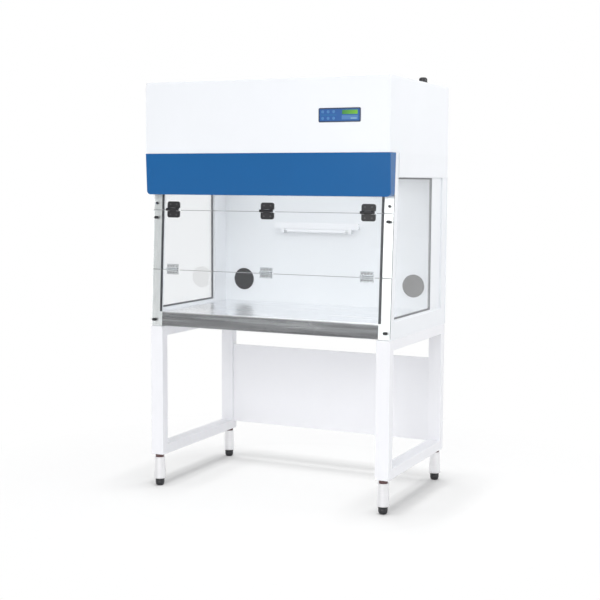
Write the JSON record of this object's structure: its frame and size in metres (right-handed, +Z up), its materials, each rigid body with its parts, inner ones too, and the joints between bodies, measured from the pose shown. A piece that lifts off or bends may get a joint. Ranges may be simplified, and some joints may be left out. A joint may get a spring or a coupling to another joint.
{
  "type": "laminar flow hood",
  "caption": "Vertical laminar flow hood with a blue fascia, folding clear sash and glazed sides, on an open tube stand with levelling feet.",
  "frame": {"origin": "on the floor under the middle of the object", "axes": "+X to the right side as seen from the front, +Y to the back, +Z up"},
  "size_m": [1.035, 0.6548, 1.645],
  "materials": {
    "cabinet_paint": "satin powder coat",
    "stand_paint": "satin powder coat",
    "fascia_blue": "gloss",
    "clear_acrylic": "clear",
    "stainless": "brushed",
    "black_plastic": "satin",
    "seal_rubber": "matt",
    "galvanised": "galvanised",
    "motor_black": "satin",
    "filter_frame": "anodised",
    "filter_media": "matt",
    "tube_glass": "frosted",
    "film_blue": "satin",
    "key_film": "satin",
    "display_green": "gloss",
    "housing_plastic": "matt",
    "steel_fixings": "polished",
    "foot_metal": "satin"
  },
  "bodies": {
    "cabinet": {"hood_casing": "cabinet_paint", "hood_front_cover": "cabinet_paint", "roof_panel": "cabinet_paint", "side_frame_left": "cabinet_paint", "side_frame_right": "cabinet_paint", "back_wall": "cabinet_paint", "rear_cover": "cabinet_paint", "base_pan": "cabinet_paint", "ceiling_frame": "cabinet_paint", "diffuser_grille": "cabinet_paint", "prefilter_grille": "cabinet_paint", "lamp_batten": "cabinet_paint", "uv_lamp_base": "cabinet_paint", "stand_frame_left": "stand_paint", "stand_frame_right": "stand_paint", "stand_rear_rail": "stand_paint", "stand_rear_panel": "stand_paint", "fascia": "fascia_blue", "sash_top_panel": "clear_acrylic", "side_window_left": "clear_acrylic", "side_window_right": "clear_acrylic", "worktop": "stainless", "sash_rails": "stainless", "upper_hinge_fixed_leaves": "black_plastic", "port_plug_left": "black_plastic", "port_plug_right": "black_plastic", "cable_gland": "black_plastic", "foot_collars": "black_plastic", "window_gaskets": "seal_rubber", "sash_seals": "seal_rubber", "intake_box": "galvanised", "fan_inlet_ring": "galvanised", "motor_bracket": "galvanised", "fan_motor": "motor_black", "hepa_frame": "filter_frame", "hepa_pack": "filter_media", "prefilter": "filter_media", "lamp_tube": "tube_glass", "uv_tube": "tube_glass", "control_overlay": "film_blue", "control_keys": "key_film", "display_window": "display_green", "controller_box": "housing_plastic", "upper_hinge_pins": "steel_fixings", "top_panel_screws": "steel_fixings", "stand_bolts": "steel_fixings", "foot_sleeves": "foot_metal"},
    "sash_middle": {"sash_middle_panel": "clear_acrylic", "upper_hinge_moving_leaves": "black_plastic", "lower_hinge_upper_leaves": "clear_acrylic", "lower_hinge_pins": "steel_fixings", "sash_catches": "black_plastic"},
    "sash_bottom": {"sash_bottom_panel": "clear_acrylic", "lower_hinge_lower_leaves": "clear_acrylic", "sash_studs": "black_plastic"},
    "fan_rotor": {"fan_impeller": "galvanised"},
    "foot_front_left": {"foot_pad_front_left": "black_plastic"},
    "foot_front_right": {"foot_pad_front_right": "black_plastic"},
    "foot_rear_left": {"foot_pad_rear_left": "black_plastic"},
    "foot_rear_right": {"foot_pad_rear_right": "black_plastic"}
  },
  "joints": [
    {"name": "sash_swing", "type": "hinge", "parent": "cabinet", "child": "sash_middle", "pos_m": [0, -0.284, 1.12267], "axis": [-1, 0, 0], "range_deg": [0, 120]},
    {"name": "lower_fold", "type": "hinge", "parent": "sash_middle", "child": "sash_bottom", "pos_m": [0, -0.2959, 0.88597], "axis": [-1, 0, 0], "range_deg": [0, 180]},
    {"name": "fan_spin", "type": "hinge", "parent": "cabinet", "child": "fan_rotor", "pos_m": [0, 0, 1.5], "axis": [0, 0, 1], "continuous": true},
    {"name": "foot_front_left_slide", "type": "slide", "parent": "cabinet", "child": "foot_front_left", "axis": [0, 0, -1], "range_m": [0, 0.025]},
    {"name": "foot_front_right_slide", "type": "slide", "parent": "cabinet", "child": "foot_front_right", "axis": [0, 0, -1], "range_m": [0, 0.025]},
    {"name": "foot_rear_left_slide", "type": "slide", "parent": "cabinet", "child": "foot_rear_left", "axis": [0, 0, -1], "range_m": [0, 0.025]},
    {"name": "foot_rear_right_slide", "type": "slide", "parent": "cabinet", "child": "foot_rear_right", "axis": [0, 0, -1], "range_m": [0, 0.025]}
  ]
}
